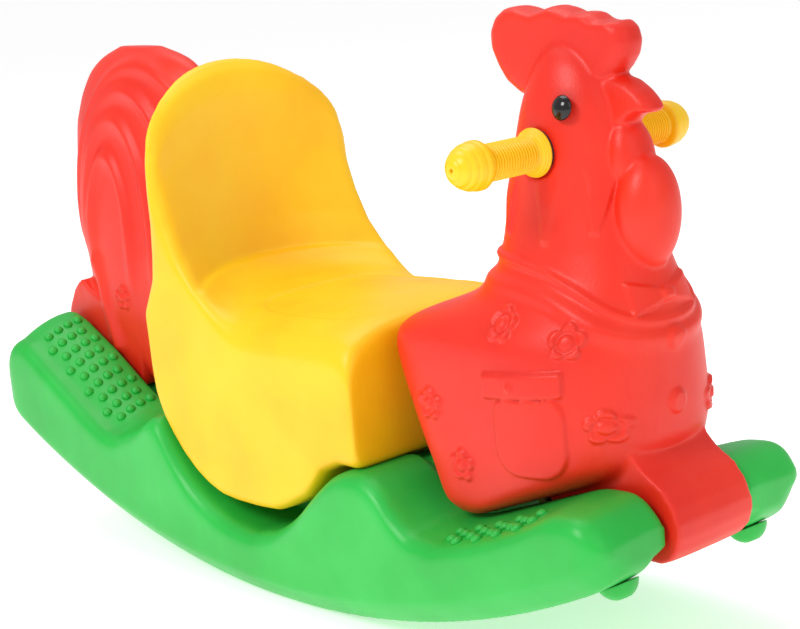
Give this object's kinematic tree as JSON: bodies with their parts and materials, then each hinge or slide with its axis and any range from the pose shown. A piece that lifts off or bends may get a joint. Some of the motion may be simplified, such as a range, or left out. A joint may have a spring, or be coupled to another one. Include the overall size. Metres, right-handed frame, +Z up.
{
  "type": "rooster rocking ride-on toy",
  "caption": "Moulded plastic rooster-shaped rocker with a curved base, saddle with backrest, tail and a cross handle whose round grips turn.",
  "frame": {"origin": "on the floor, under the middle of the rocking arc and of the overall length and width", "axes": "+X the way the beak points, +Y the rider's left, +Z up"},
  "size_m": [0.89, 0.278, 0.5469],
  "materials": {
    "green_moulding": "satin blow-moulded polyethylene",
    "red_moulding": "satin blow-moulded polyethylene",
    "yellow_moulding": "satin blow-moulded polyethylene",
    "yellow_grip": "satin injection-moulded plastic",
    "green_stop": "satin injection-moulded plastic",
    "eye_black": "polished",
    "bush_plastic": "smooth nylon",
    "zinc_steel": "zinc plated",
    "brass_insert": "turned"
  },
  "bodies": {
    "frame": {"rocker_base": "green_moulding", "front_body": "red_moulding", "seat_shell": "yellow_moulding", "tail_shell": "red_moulding", "right_eye": "eye_black", "left_eye": "eye_black", "handle_tube": "zinc_steel", "right_bush": "bush_plastic", "left_bush": "bush_plastic", "right_snap_ring": "zinc_steel", "left_snap_ring": "zinc_steel", "right_front_stop": "green_stop", "left_front_stop": "green_stop", "front_bolts": "zinc_steel", "seat_bolts": "zinc_steel", "tail_bolts": "zinc_steel", "front_washers": "zinc_steel", "seat_washers": "zinc_steel", "tail_washers": "zinc_steel", "front_inserts": "brass_insert", "seat_inserts": "brass_insert", "tail_inserts": "brass_insert"},
    "right_grip": {"right_grip": "yellow_grip"},
    "left_grip": {"left_grip": "yellow_grip"}
  },
  "joints": [
    {"name": "right_grip_turn", "type": "hinge", "parent": "frame", "child": "right_grip", "pos_m": [0.31, -0.09, 0.432], "axis": [0, 1, 0], "continuous": true},
    {"name": "left_grip_turn", "type": "hinge", "parent": "frame", "child": "left_grip", "pos_m": [0.31, 0.09, 0.432], "axis": [0, 1, 0], "continuous": true}
  ]
}
